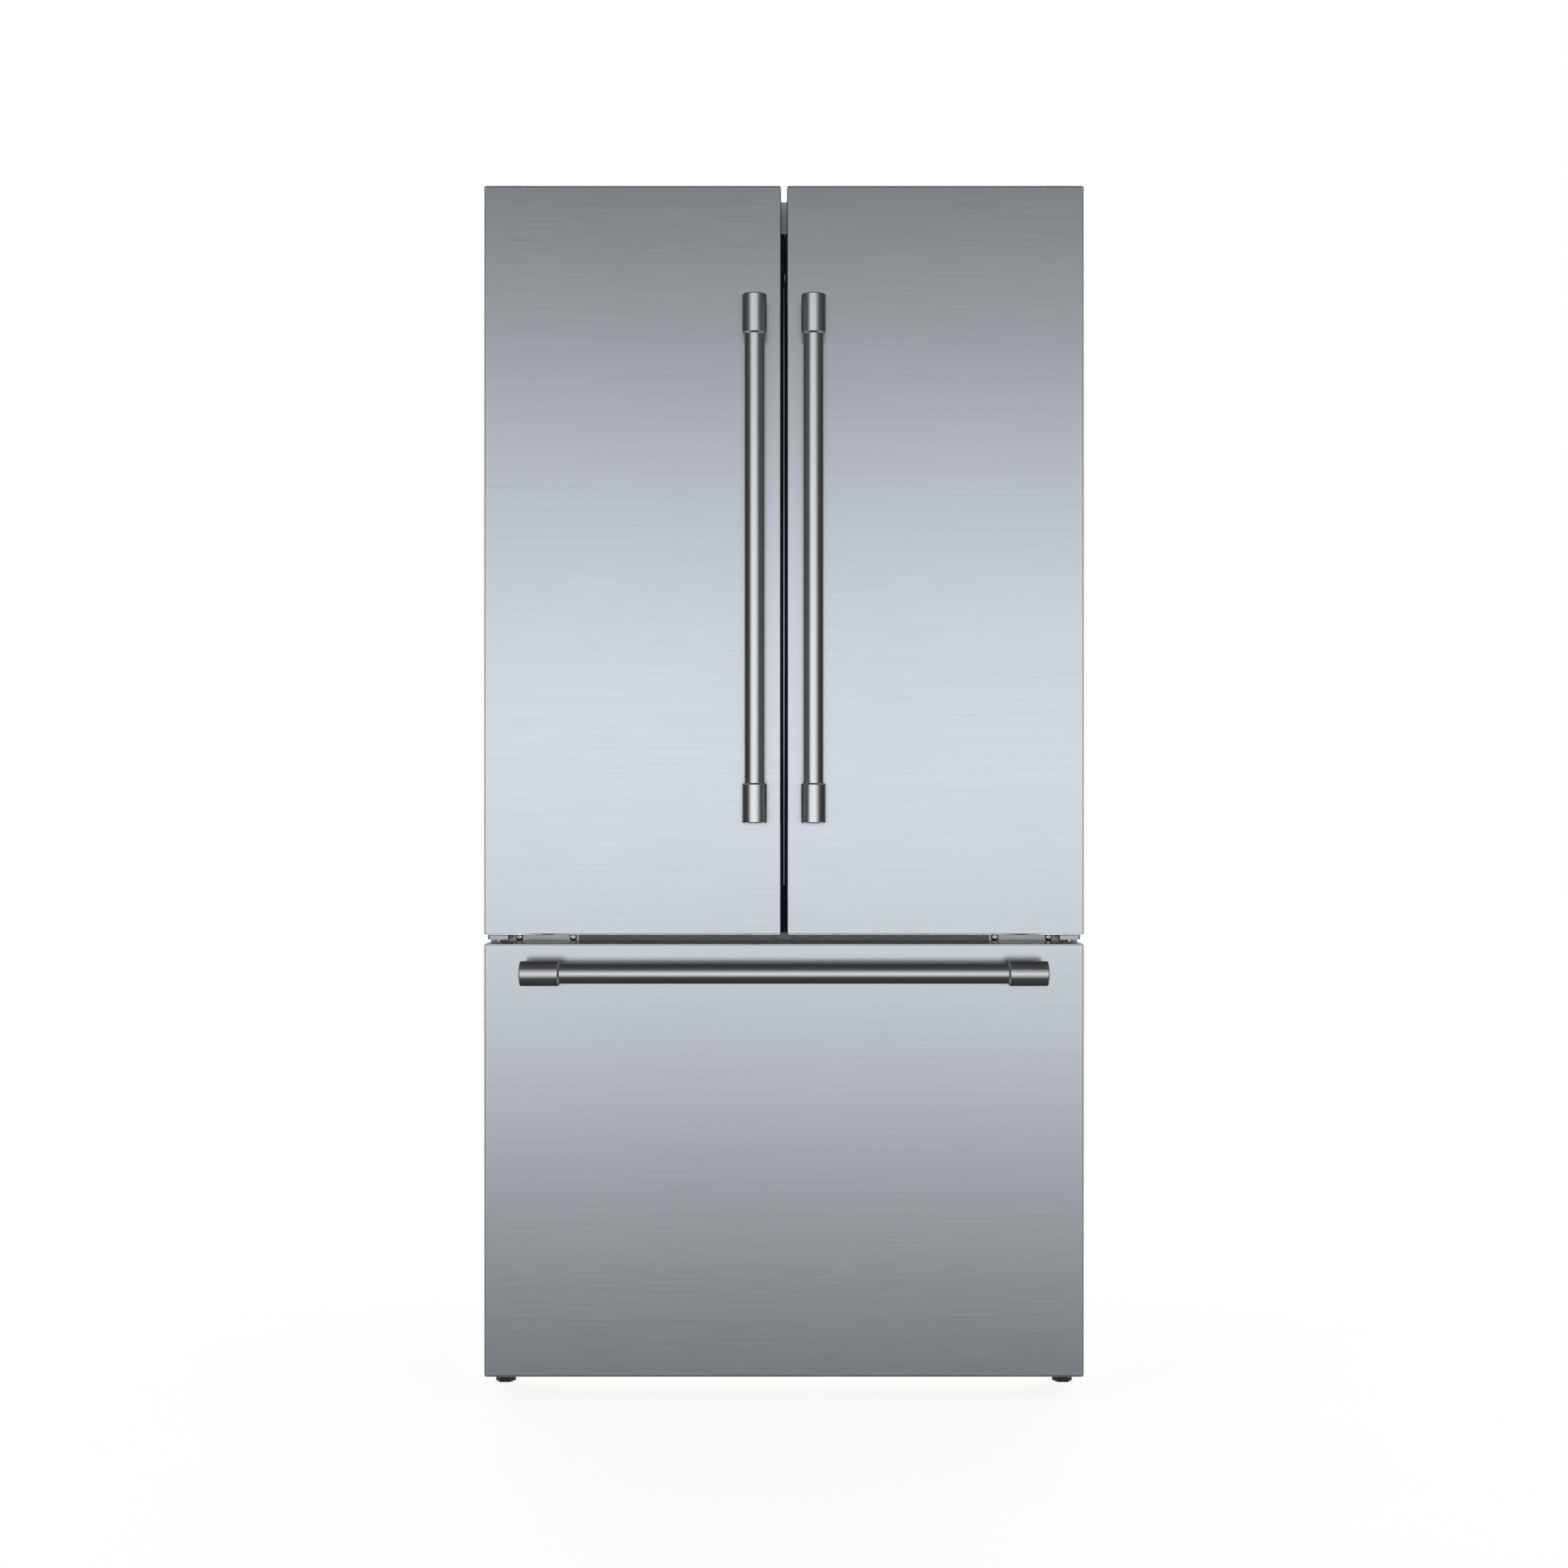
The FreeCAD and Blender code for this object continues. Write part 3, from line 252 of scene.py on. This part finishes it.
MM = 0.001
SHARP_ANGLE = math.radians(35)  # edges that turn more than this stay crisp
TURNED_SIDES = 28
TUBE_SIDES = 14
SCREW_SIDES = 24
BEND_STEPS = 8


def piece(name, body, material, build):
    """A mesh piece that moves with a body. build fills its bmesh in the frame's own coordinates."""
    bm = bmesh.new()
    build(bm)
    bmesh.ops.recalc_face_normals(bm, faces=bm.faces)
    mesh = bpy.data.meshes.new(name)
    bm.to_mesh(mesh)
    bm.free()
    mesh.materials.append(materials[material])
    mesh.shade_smooth()
    mesh.set_sharp_from_angle(angle=SHARP_ANGLE)
    thing = bpy.data.objects.new(name, mesh)
    bpy.context.scene.collection.objects.link(thing)
    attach(thing, body)
    return thing


def facing(place, direction):
    """Turns +Z to the direction and moves it to the place."""
    return Matrix.Translation(place) @ Vector(direction).to_track_quat("Z", "Y").to_matrix().to_4x4()


def circle(radius, count, height=0.0):
    """Points round the Z axis at a height."""
    angles = [2 * math.pi * i / count for i in range(count)]
    return [Vector((radius * math.cos(a), radius * math.sin(a), height)) for a in angles]


def loft(bm, loops, capped=True):
    """Skins a row of closed vertex loops of equal length."""
    rows = [[bm.verts.new(point) for point in loop] for loop in loops]
    count = len(rows[0])
    for first, second in zip(rows, rows[1:]):
        for i in range(count):
            j = (i + 1) % count
            bm.faces.new((first[i], first[j], second[j], second[i]))
    if capped:
        bm.faces.new(rows[0])
        bm.faces.new(rows[-1])
    return rows


def lathe(bm, profile, place, direction):
    """Turns (radius, height) points about the direction through the place."""
    matrix = facing(place, direction)
    circles = [circle(radius, TURNED_SIDES, height) for radius, height in profile]
    loft(bm, [[matrix @ point for point in ring] for ring in circles])


def block(bm, low, high, edge=0.8 * MM):
    """A box between two corners, with rounded edges."""
    low, high = Vector(low), Vector(high)
    size = Matrix.Diagonal((*(high - low), 1))
    verts = bmesh.ops.create_cube(bm, size=1, matrix=Matrix.Translation((low + high) / 2) @ size)["verts"]
    edges = list({line for vert in verts for line in vert.link_edges})
    bmesh.ops.bevel(bm, geom=edges, offset=edge, segments=3, profile=0.5, affect="EDGES")


def pipe(bm, points, radius, bend=18 * MM):
    """A round tube through the points, with a smooth bend at each corner."""
    points = [Vector(point) for point in points]
    path = [points[0]]
    for before, corner, after in zip(points, points[1:], points[2:]):
        inward, outward = before - corner, after - corner
        inward *= min(bend, inward.length / 2) / inward.length
        outward *= min(bend, outward.length / 2) / outward.length
        for step in range(BEND_STEPS + 1):
            along = step / BEND_STEPS
            path.append(corner + inward * (1 - along) ** 2 + outward * along ** 2)
    path.append(points[-1])
    loops, side = [], (path[1] - path[0]).orthogonal()
    for i, point in enumerate(path):
        ahead = (path[min(i + 1, len(path) - 1)] - path[max(i - 1, 0)]).normalized()
        side = (side - ahead * side.dot(ahead)).normalized()
        other = ahead.cross(side)
        loops.append([point + side * dot.x + other * dot.y for dot in circle(radius, TUBE_SIDES)])
    loft(bm, loops)


def screw(bm, place, direction, radius):
    """Pan head with a cross recess. Its shape is in fractions of the radius."""
    matrix = facing(place, direction)
    head = ((1, 0), (1, 0.22), (0.93, 0.42), (0.78, 0.58), (0.62, 0.66))
    arm, reach = 0.09 * radius, 0.38 * radius
    recess = ((1.0, 0.66), (0.55, 0.3))
    circles = [circle(radius * share, SCREW_SIDES, radius * height) for share, height in head]
    rows = loft(bm, [[matrix @ point for point in ring] for ring in circles], False)
    outline = []
    for quarter in range(4):
        turn = Matrix.Rotation(math.pi / 2 * quarter, 4, "Z")
        outline += [turn @ Vector(dot) for dot in ((reach, -arm, 0), (reach, arm, 0), (arm, arm, 0))]
    loops = [[matrix @ Vector((dot.x * share, dot.y * share, radius * height)) for dot in outline]
             for share, height in recess]
    cross = loft(bm, loops, False)
    bm.faces.new(cross[1])
    rims = (rows[-1], cross[0])
    edges = [bm.edges.get((rim[i], rim[(i + 1) % len(rim)])) for rim in rims for i in range(len(rim))]
    bmesh.ops.bridge_loops(bm, edges=edges)


def frame_strip(bm, low, high, y, profile):
    """Sweeps (inward, backward) points round an upright rectangle, mitred at its corners."""
    loops = []
    for right, top in ((0, 0), (1, 0), (1, 1), (0, 1), (0, 0)):
        loop = []
        for inward, backward in profile:
            x = high[0] - inward if right else low[0] + inward
            z = high[1] - inward if top else low[1] + inward
            loop.append((x, y + backward, z))
        loops.append(loop)
    loft(bm, loops, False)


def mirrored(side, low, high):
    """A span across the width, on the right for side 1 and on the left for -1."""
    return (low, high) if side > 0 else (-high, -low)


# ---------------------------------------------------------------- pieces

SIDES = {"left": -1, "right": 1}
BIN_TOPS = (1.207, 1.425, 1.655)
BIN_WALL = 2.5 * MM
LIP = 1.6 * MM  # how far trims stand off the walls they are clipped to
BITE = 0.4 * MM  # how far trims sink into them
SEAL_DEPTH = 13.5 * MM
SEAL_WIDTH = 16 * MM
SEAL_FOOT = 0.707
FINS = {"left": (-4.5 * MM, 0.9 * MM), "right": (1.4 * MM, 4.5 * MM)}  # across the seam
FIN_SPAN = (0.700, 1.7625)
BEAD_SPAN = (0.772, 1.680)
# bellows of the magnetic seals, as fractions of the ring's width and depth
SEAL_PROFILE = (
    (0.24, 0.00), (0.76, 0.00), (0.76, 0.14), (0.60, 0.24), (0.84, 0.38), (0.68, 0.52),
    (0.92, 0.64), (0.95, 0.70), (0.95, 0.94), (0.86, 1.00), (0.14, 1.00), (0.05, 0.94),
    (0.05, 0.70), (0.08, 0.64), (0.32, 0.52), (0.16, 0.38), (0.40, 0.24), (0.24, 0.14),
)


def make_seals():
    """Ribbed magnetic seals, the fins that close the seam, and the grey bead along the left one."""
    fin_thickness, fin_pitch, fin_edge = 2.4 * MM, 3.5 * MM, 0.5 * MM
    door_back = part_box("left_door_gasket")[1].y - SEAL_DEPTH
    fin_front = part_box("right_door_gasket")[0].y
    profile = [(inward * SEAL_WIDTH, backward * SEAL_DEPTH) for inward, backward in SEAL_PROFILE]
    for name, side in SIDES.items():
        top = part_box(f"{name}_door_gasket")[1].z
        ring = mirrored(side, 10 * MM, 434 * MM)
        fin = FINS[name]

        def build(bm):
            frame_strip(bm, (ring[0], SEAL_FOOT), (ring[1], top), door_back, profile)
            for y in (fin_front, fin_front + fin_pitch):
                block(bm, (fin[0], y, FIN_SPAN[0]), (fin[1], y + fin_thickness, FIN_SPAN[1]), fin_edge)

        seal = piece(f"{name}_door_seal", f"{name}_door", "gasket", build)
        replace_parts(seal, f"{name}_door_gasket")
    low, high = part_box("drawer_gasket")
    seal = piece("drawer_seal", "freezer_drawer", "gasket",
                 lambda bm: frame_strip(bm, (low.x, low.z), (high.x, high.z), door_back, profile))
    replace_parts(seal, "drawer_gasket")
    bead_low = (-1.3 * MM, fin_front - 2 * MM, BEAD_SPAN[0])
    bead_high = (1.2 * MM, fin_front + 0.8 * MM, BEAD_SPAN[1])
    piece("seam_bead", "left_door", "bead", lambda bm: block(bm, bead_low, bead_high, 0.6 * MM))


def make_rear_screws():
    """Screws round the rear panel and the machine cover."""
    panel_low, panel_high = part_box("back_panel")
    cover_low, cover_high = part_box("machine_cover")
    inset = 12 * MM
    left, right = panel_low.x + inset, panel_high.x - inset
    rows = (cover_low.z + inset, cover_high.z - inset, panel_low.z + inset, panel_high.z - inset)
    across, up = 4, 6  # spaces between screws
    radius = 4.5 * MM
    places = [(left + (right - left) * i / across, z) for i in range(across + 1) for z in rows]
    places += [(x, rows[2] + (rows[3] - rows[2]) * i / up) for i in range(1, up) for x in (left, right)]

    def build(bm):
        for x, z in places:
            screw(bm, (x, cover_high.y, z), (0, 1, 0), radius)

    piece("rear_screws", "cabinet", "screw_steel", build)


def make_hinge_screws():
    """Pan heads with cross recesses on the middle and top hinges."""
    plate_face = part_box("center_rail")[0].y - 3 * MM
    plate_height, plate_radius = 690 * MM, 6 * MM
    arm_x, arm_top, arm_radius = 418 * MM, 1833.5 * MM, 5 * MM

    def build(bm):
        for side in SIDES.values():
            for x in (325 * MM, 408 * MM):
                screw(bm, (side * x, plate_face, plate_height), (0, -1, 0), plate_radius)
            for y in (-225 * MM, -175 * MM):
                screw(bm, (side * arm_x, y, arm_top), (0, 0, 1), arm_radius)

    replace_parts(piece("hinge_screw_heads", "cabinet", "screw_steel", build), "hinge_screws")


def make_refrigerant_tubes():
    """Copper tubes from the compressor to the condenser and back up to the evaporator, with the filter."""
    low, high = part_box("compressor")
    coil_low, coil_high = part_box("condenser_coil")
    middle = (low.y + high.y) / 2
    outlet = high.x - 14 * MM
    riser_y, riser_start, riser_end = 345 * MM, 200 * MM, 296 * MM
    coil_inset = 8 * MM

    hot_x, hot_y, hot_low, hot_high, coil_top = -150 * MM, 235 * MM, 150 * MM, 215 * MM, 240 * MM
    hot = [(outlet, middle, hot_low), (hot_x, middle, hot_low), (hot_x, middle, hot_high),
           (-60 * MM, hot_y, hot_high), (150 * MM, hot_y, hot_high), (150 * MM, hot_y, coil_top),
           (coil_low.x + coil_inset, coil_low.y + coil_inset, coil_top)]

    cold_x, cold_y, cold_z = -130 * MM, middle + 25 * MM, 165 * MM
    cold = [(outlet, cold_y, cold_z), (cold_x, cold_y, cold_z), (cold_x, riser_y, riser_start),
            (cold_x, riser_y, riser_end)]

    filter_x, filter_y, filter_z = 110 * MM, 330 * MM, 150 * MM
    coil_x, coil_foot = coil_high.x - coil_inset, 84 * MM
    liquid = [(coil_x, coil_high.y, coil_foot), (coil_x, filter_y, coil_foot),
              (filter_x, filter_y, coil_foot), (filter_x, filter_y, riser_start),
              (filter_x, riser_y, riser_end)]
    filter_profile = [(radius * MM, height * MM) for radius, height in (
        (2.4, -34), (4, -31), (9, -24), (9, 24), (4, 31), (2.4, 34))]

    service_x, service_y, service_z = -185 * MM, middle - 30 * MM, 140 * MM
    service = [(outlet - 4 * MM, service_y, service_z), (service_x, service_y, service_z),
               (service_x, service_y, service_z + 50 * MM)]

    def build(bm):
        pipe(bm, hot, 3 * MM)
        pipe(bm, cold, 4 * MM)
        pipe(bm, liquid, 2.4 * MM)
        lathe(bm, filter_profile, (filter_x, filter_y, filter_z), (0, 0, 1))
        pipe(bm, service, 3 * MM, 10 * MM)

    piece("refrigerant_tubes", "cabinet", "copper", build)


def make_terminal_cover():
    """The terminal cover on the side of the compressor, with its ribs."""
    low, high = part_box("compressor")
    middle = (low.y + high.y) / 2
    bottom, top = 105 * MM, 165 * MM
    half_width, rib_count, rib_pitch, rib_half = 30 * MM, 5, 12 * MM, 1.5 * MM

    def cover(bm):
        block(bm, (low.x - 16 * MM, middle - half_width, bottom),
              (low.x + 20 * MM, middle + half_width, top), 4 * MM)
        for i in range(rib_count):
            y = middle + rib_pitch * (i - (rib_count - 1) / 2)
            block(bm, (low.x - 18 * MM, y - rib_half, bottom + 5 * MM),
                  (low.x - 15 * MM, y + rib_half, top - 5 * MM), 0.6 * MM)

    piece("terminal_cover", "cabinet", "cover_plastic", cover)


def make_bin_trims():
    """A steel strip folded over the top edge of each door bin."""
    for name, side in SIDES.items():
        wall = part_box(f"{name}_door_bins")[1].y
        inner, outer = wall - BIN_WALL - BITE, wall + LIP
        left, right = mirrored(side, 93 * MM, 368 * MM)

        def build(bm):
            for top in BIN_TOPS:
                block(bm, (left, wall - BITE, top - 13 * MM), (right, outer, top - 1 * MM))
                block(bm, (left, inner, top - 0.6 * MM), (right, outer, top + 1 * MM), 0.7 * MM)

        piece(f"{name}_bin_trims", f"{name}_door", "trim_steel", build)


def make_drawer_trims():
    """Humidity sliders on the crispers, and steel strips on the freezer basket and the upper tray."""
    plate_half, plate_edge = 40 * MM, 0.7 * MM
    knob_start, knob_end, knob_depth = 8 * MM, 22 * MM, 4.5 * MM
    rib_start, rib_pitch, rib_width, rib_count = 11 * MM, 2.6 * MM, 1.2 * MM, 4
    for name in SIDES:
        low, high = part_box(f"crisper_{name}")
        middle = (low.x + high.x) / 2
        front = low.y + 5 * MM
        bottom, top = high.z - 60 * MM, high.z - 46 * MM

        def slider(bm):
            block(bm, (middle - plate_half, front - 1.5 * MM, bottom),
                  (middle + plate_half, front + 0.3 * MM, top), plate_edge)
            block(bm, (middle + knob_start, front - knob_depth, bottom + 2 * MM),
                  (middle + knob_end, front - 1 * MM, top - 2 * MM), 1.2 * MM)
            for i in range(rib_count):
                x = middle + rib_start + rib_pitch * i
                block(bm, (x, front - 5 * MM, bottom + 3 * MM),
                      (x + rib_width, front - 4 * MM, top - 3 * MM), 0.3 * MM)

        piece(f"crisper_{name}_slider", f"crisper_drawer_{name}", "trim_plastic", slider)

    margin, strip_bottom, strip_top = 40 * MM, 24 * MM, 4 * MM
    for node, body in (("freezer_tray", "upper_tray"), ("freezer_basket", "freezer_drawer")):
        low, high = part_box(node)
        strip_low = (low.x + margin, low.y - LIP, high.z - strip_bottom)
        strip_high = (high.x - margin, low.y + BITE, high.z - strip_top)
        piece(f"{node}_strip", body, "trim_steel", lambda bm: block(bm, strip_low, strip_high))


def make_touch_marks():
    """Round touch spots and two light bars on the underside of the control panel."""
    low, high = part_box("control_panel")
    spot = [(radius * MM, height * MM) for radius, height in (
        (7, 0), (7, 0.5), (6.2, 0.7), (5.4, 0.5), (5.4, 0.2))]
    spot_count, spot_inset = 6, 32 * MM
    bar_place, bar_half = 45 * MM, 22 * MM

    def build(bm):
        for i in range(spot_count):
            x = low.x + (high.x - low.x) * (i + 1) / (spot_count + 1)
            lathe(bm, spot, (x, low.y + spot_inset, low.z), (0, 0, -1))
        for x in (-bar_place, bar_place):
            block(bm, (x - bar_half, high.y - 30 * MM, low.z - 0.8 * MM),
                  (x + bar_half, high.y - 22 * MM, low.z + 0.3 * MM), 0.3 * MM)

    piece("touch_marks", "cabinet", "lamp", build)


def make_lamp_ribs():
    """Prismatic ribs across the roof lamp and up the side lamps."""
    low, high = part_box("led_lamps")
    pitch, width, edge = 8 * MM, 4 * MM, 0.4 * MM
    roof_count, roof_start, roof_depth = 46, -184 * MM, 163 * MM
    side_count, side_start, side_end = 74, 1.105, 11 * MM

    def build(bm):
        for i in range(roof_count):
            x = roof_start + pitch * i
            block(bm, (x, low.y + roof_depth, high.z - 7.8 * MM),
                  (x + width, high.y - 3 * MM, high.z - 6.6 * MM), edge)
        for side in SIDES.values():
            inner, outer = mirrored(side, high.x - 5.8 * MM, high.x - 4.6 * MM)
            for i in range(side_count):
                z = side_start + pitch * i
                block(bm, (inner, low.y + 1 * MM, z), (outer, low.y + side_end, z + width), edge)

    piece("lamp_ribs", "cabinet", "lamp", build)


def make_pieces():
    make_seals()
    make_rear_screws()
    make_hinge_screws()
    make_refrigerant_tubes()
    make_terminal_cover()
    make_bin_trims()
    make_drawer_trims()
    make_touch_marks()
    make_lamp_ribs()


# ---------------------------------------------------------------- studio

CAMERA_DISTANCE = 3.286
CAMERA_HEIGHT = 0.926


def make_camera():
    """A 50 mm lens 3.29 m in front of the door faces, at the height of the fridge's middle."""
    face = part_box("drawer_panel")[0].y
    data = bpy.data.cameras.new("camera")
    data.lens = 50
    data.sensor_width = 36
    camera = bpy.data.objects.new("camera", data)
    camera.location = (0, face - CAMERA_DISTANCE, CAMERA_HEIGHT)
    camera.rotation_euler = (math.radians(90), 0, 0)
    bpy.context.scene.collection.objects.link(camera)
    bpy.context.scene.camera = camera


def make_floor():
    """Plain white floor, wide enough for every view."""
    mesh = bpy.data.meshes.new("studio_floor")
    side = 14
    corners = [(-side, -side, 0), (side, -side, 0), (side, side, 0), (-side, side, 0)]
    mesh.from_pydata(corners, [], [(0, 1, 2, 3)])
    floor = bpy.data.objects.new("studio_floor", mesh)
    bpy.context.scene.collection.objects.link(floor)
    glow = {"Emission_Color": (1, 1, 1, 1), "Emission_Strength": 0.8}
    surface = Surface("studio_floor", (0.5, 0.5, 0.5), 0.9, **glow)
    surface.shade(surface.noise((3, 3, 3)), 0.98, 1.02)
    floor.data.materials.append(surface.material)
    floor.visible_glossy = False


def make_light(name, place, target, size, radiance, receivers):
    """A rectangular softbox that lights only the named objects. Its power follows from its radiance."""
    data = bpy.data.lights.new(name, "AREA")
    data.shape = "RECTANGLE"
    data.size, data.size_y = size
    data.energy = radiance * math.pi * size[0] * size[1]
    lamp = bpy.data.objects.new(name, data)
    lamp.location = place
    lamp.rotation_euler = (Vector(target) - Vector(place)).to_track_quat("-Z", "Y").to_euler()
    lamp.visible_camera = False
    bpy.context.scene.collection.objects.link(lamp)
    group = bpy.data.collections.new(f"{name}_receivers")
    for receiver in receivers:
        group.objects.link(nodes.get(receiver) or bpy.data.objects[receiver])
    lamp.light_linking.receiver_collection = group


def make_lights():
    """Soft panels for the handles, the flange over the seam, and the edges on both sides of the rail."""
    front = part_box("drawer_panel")[0].y
    rail = (0, front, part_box("center_rail")[1].z)
    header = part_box("cabinet_shell")[1].z
    handles = [name for name in nodes if "_handle_" in name] + ["seam_bead"]
    doors = ("left_door_panel", "right_door_panel")
    wide, small, slim = (5.2, 5.2), (1.2, 1.2), (4, 1)
    make_light("handle_panel", (-0.5, front - 4.2, 1.0), (0, front, 0.95), wide, HANDLE_LIGHT, handles)
    make_light("door_edge_panel", (0, front - 1.2, -1.6), rail, slim, DOOR_EDGE_LIGHT, doors)
    make_light("header_panel", (0, front - 3, header + 0.85), (0, front, header), small, HEADER_LIGHT,
               ("cabinet_shell",))
    make_light("drawer_edge_panel", (0, front - 1.2, 3.0), rail, slim, DRAWER_EDGE_LIGHT,
               ("drawer_panel",))


def make_world():
    """White backdrop. Reflections show a soft panel level with the camera, softboxes and a wall behind."""
    world = bpy.data.worlds.new("studio")
    bpy.context.scene.world = world
    world.use_nodes = True
    tree = world.node_tree
    tree.nodes.clear()

    def add(kind, operation=None, **values):
        node = tree.nodes.new(kind)
        if operation:
            node.operation = operation
        for label, value in values.items():
            node.inputs[label.replace("_", " ")].default_value = value
        return node

    def math_of(operation, first, second=None):
        node = add("ShaderNodeMath", operation)
        for socket, value in zip(node.inputs, (first, second)):
            if isinstance(value, float):
                socket.default_value = value
            elif value is not None:
                tree.links.new(value, socket)
        return node.outputs["Value"]

    def smooth(source, start, end, low=0.0, high=1.0):
        node = add("ShaderNodeMapRange", From_Min=start, From_Max=end, To_Min=low, To_Max=high)
        node.interpolation_type = "SMOOTHSTEP"
        tree.links.new(source, node.inputs["Value"])
        return node.outputs["Result"]

    direction = add("ShaderNodeSeparateXYZ")
    tree.links.new(add("ShaderNodeTexCoord").outputs["Generated"], direction.inputs["Vector"])
    across, depth, height = (direction.outputs[axis] for axis in "XYZ")
    level = math_of("ABSOLUTE", math_of("SUBTRACT", height, BAND_HEIGHT))
    band = math_of("MULTIPLY", smooth(level, 0.0, BAND_REACH, 1.0, 0.0), smooth(depth, *BAND_SIDES, 1.0, 0.0))
    aside = smooth(math_of("ABSOLUTE", across), *SOFTBOX_ACROSS)
    boxes = math_of("MULTIPLY", aside, smooth(math_of("ABSOLUTE", height), *SOFTBOX_UP))
    boxes = math_of("MAXIMUM", boxes, smooth(depth, *WALL_BEHIND))
    light = math_of("MULTIPLY", band, BAND_LIGHT)
    light = math_of("ADD", light, math_of("MULTIPLY", boxes, SIDE_LIGHT))
    light = math_of("ADD", light, FILL_LIGHT)

    seen = add("ShaderNodeBackground")
    seen.inputs["Color"].default_value = (1, 1, 1, 1)
    studio = add("ShaderNodeBackground")
    tree.links.new(light, studio.inputs["Strength"])
    mix = add("ShaderNodeMixShader")
    tree.links.new(add("ShaderNodeLightPath").outputs["Is Camera Ray"], mix.inputs["Fac"])
    tree.links.new(studio.outputs["Background"], mix.inputs[1])
    tree.links.new(seen.outputs["Background"], mix.inputs[2])
    tree.links.new(mix.outputs["Shader"], add("ShaderNodeOutputWorld").inputs["Surface"])
    bpy.context.scene.view_settings.view_transform = "Standard"


# ---------------------------------------------------------------- build


paint_cad_nodes()
make_pieces()
make_camera()
make_floor()
make_world()
make_lights()
